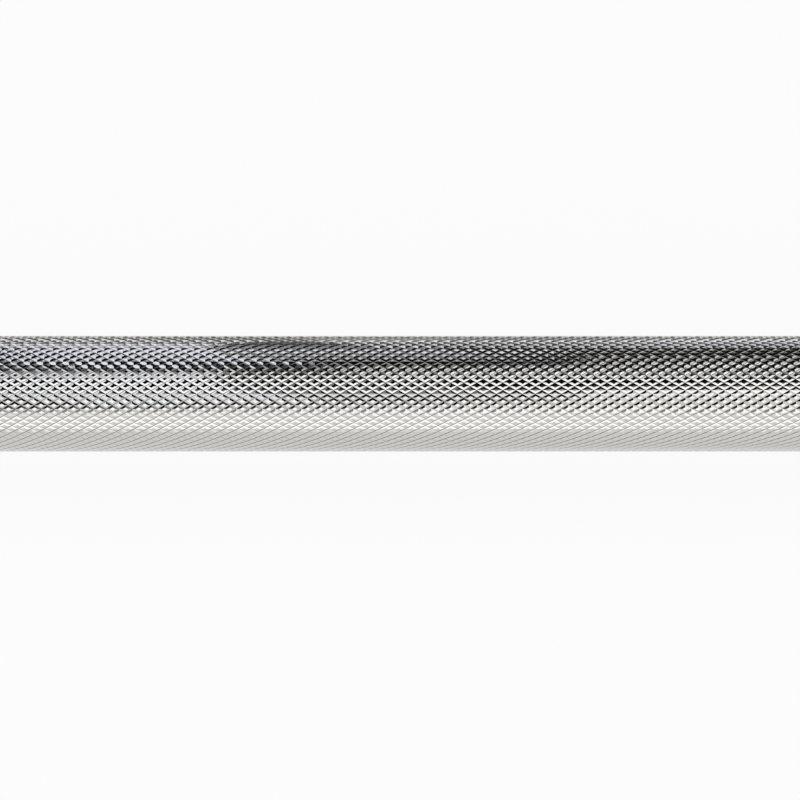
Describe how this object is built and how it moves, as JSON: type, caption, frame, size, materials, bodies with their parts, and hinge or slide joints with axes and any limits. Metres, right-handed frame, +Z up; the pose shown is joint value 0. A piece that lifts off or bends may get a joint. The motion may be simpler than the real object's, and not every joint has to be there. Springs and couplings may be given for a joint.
{
  "type": "olympic barbell",
  "caption": "Long straight chromed steel bar with a diamond-knurled grip and a free-spinning round sleeve at each end that carries weight plates against a stop collar.",
  "frame": {"origin": "middle of the bar, on its axis", "axes": "+X along the bar towards the right sleeve, +Z up, -Y towards the viewer of the picture"},
  "size_m": [2.2, 0.075, 0.075],
  "materials": {
    "shaft_chrome": "hard chrome over the rolled knurl",
    "sleeve_chrome": "hard chrome over fine turning",
    "bearing_steel": "ground",
    "plain_steel": "drawn, oiled",
    "spring_steel": "black phosphate",
    "bronze": "turned, oiled",
    "cap_aluminium": "satin, faced",
    "seal_rubber": "matt"
  },
  "bodies": {
    "shaft": {"shaft": "shaft_chrome", "left_inner_thrust_washer": "bronze", "left_outer_thrust_washer": "bronze", "left_shaft_retaining_ring": "spring_steel", "right_inner_thrust_washer": "bronze", "right_outer_thrust_washer": "bronze", "right_shaft_retaining_ring": "spring_steel"},
    "left_sleeve": {"left_sleeve_tube": "sleeve_chrome", "left_stop_collar": "sleeve_chrome", "left_dust_seal": "seal_rubber", "left_spacer_tube": "plain_steel", "left_end_cap": "cap_aluminium", "left_cap_retaining_ring": "spring_steel", "left_needle_cup_1": "bearing_steel", "left_needle_cup_2": "bearing_steel", "left_needle_cup_3": "bearing_steel", "left_needle_cup_4": "bearing_steel"},
    "left_needle_cage_1": {"left_needle_cage_1": "bearing_steel", "left_needles_1": "bearing_steel"},
    "left_needle_cage_2": {"left_needle_cage_2": "bearing_steel", "left_needles_2": "bearing_steel"},
    "left_needle_cage_3": {"left_needle_cage_3": "bearing_steel", "left_needles_3": "bearing_steel"},
    "left_needle_cage_4": {"left_needle_cage_4": "bearing_steel", "left_needles_4": "bearing_steel"},
    "right_sleeve": {"right_sleeve_tube": "sleeve_chrome", "right_stop_collar": "sleeve_chrome", "right_dust_seal": "seal_rubber", "right_spacer_tube": "plain_steel", "right_end_cap": "cap_aluminium", "right_cap_retaining_ring": "spring_steel", "right_needle_cup_1": "bearing_steel", "right_needle_cup_2": "bearing_steel", "right_needle_cup_3": "bearing_steel", "right_needle_cup_4": "bearing_steel"},
    "right_needle_cage_1": {"right_needle_cage_1": "bearing_steel", "right_needles_1": "bearing_steel"},
    "right_needle_cage_2": {"right_needle_cage_2": "bearing_steel", "right_needles_2": "bearing_steel"},
    "right_needle_cage_3": {"right_needle_cage_3": "bearing_steel", "right_needles_3": "bearing_steel"},
    "right_needle_cage_4": {"right_needle_cage_4": "bearing_steel", "right_needles_4": "bearing_steel"}
  },
  "joints": [
    {"name": "left_sleeve_spin", "type": "hinge", "parent": "shaft", "child": "left_sleeve", "pos_m": [0, 0, 0], "axis": [1, 0, 0], "continuous": true},
    {"name": "left_needle_cage_1_orbit", "type": "hinge", "parent": "shaft", "child": "left_needle_cage_1", "pos_m": [0, 0, 0], "axis": [1, 0, 0], "continuous": true},
    {"name": "left_needle_cage_2_orbit", "type": "hinge", "parent": "shaft", "child": "left_needle_cage_2", "pos_m": [0, 0, 0], "axis": [1, 0, 0], "continuous": true},
    {"name": "left_needle_cage_3_orbit", "type": "hinge", "parent": "shaft", "child": "left_needle_cage_3", "pos_m": [0, 0, 0], "axis": [1, 0, 0], "continuous": true},
    {"name": "left_needle_cage_4_orbit", "type": "hinge", "parent": "shaft", "child": "left_needle_cage_4", "pos_m": [0, 0, 0], "axis": [1, 0, 0], "continuous": true},
    {"name": "right_sleeve_spin", "type": "hinge", "parent": "shaft", "child": "right_sleeve", "pos_m": [0, 0, 0], "axis": [1, 0, 0], "continuous": true},
    {"name": "right_needle_cage_1_orbit", "type": "hinge", "parent": "shaft", "child": "right_needle_cage_1", "pos_m": [0, 0, 0], "axis": [1, 0, 0], "continuous": true},
    {"name": "right_needle_cage_2_orbit", "type": "hinge", "parent": "shaft", "child": "right_needle_cage_2", "pos_m": [0, 0, 0], "axis": [1, 0, 0], "continuous": true},
    {"name": "right_needle_cage_3_orbit", "type": "hinge", "parent": "shaft", "child": "right_needle_cage_3", "pos_m": [0, 0, 0], "axis": [1, 0, 0], "continuous": true},
    {"name": "right_needle_cage_4_orbit", "type": "hinge", "parent": "shaft", "child": "right_needle_cage_4", "pos_m": [0, 0, 0], "axis": [1, 0, 0], "continuous": true}
  ],
  "couplings": [
    {"joint": "left_needle_cage_1_orbit", "follows": "left_sleeve_spin", "ratio": 0.54546},
    {"joint": "left_needle_cage_2_orbit", "follows": "left_sleeve_spin", "ratio": 0.54546},
    {"joint": "left_needle_cage_3_orbit", "follows": "left_sleeve_spin", "ratio": 0.54546},
    {"joint": "left_needle_cage_4_orbit", "follows": "left_sleeve_spin", "ratio": 0.54546},
    {"joint": "right_needle_cage_1_orbit", "follows": "right_sleeve_spin", "ratio": 0.54546},
    {"joint": "right_needle_cage_2_orbit", "follows": "right_sleeve_spin", "ratio": 0.54546},
    {"joint": "right_needle_cage_3_orbit", "follows": "right_sleeve_spin", "ratio": 0.54546},
    {"joint": "right_needle_cage_4_orbit", "follows": "right_sleeve_spin", "ratio": 0.54546}
  ]
}
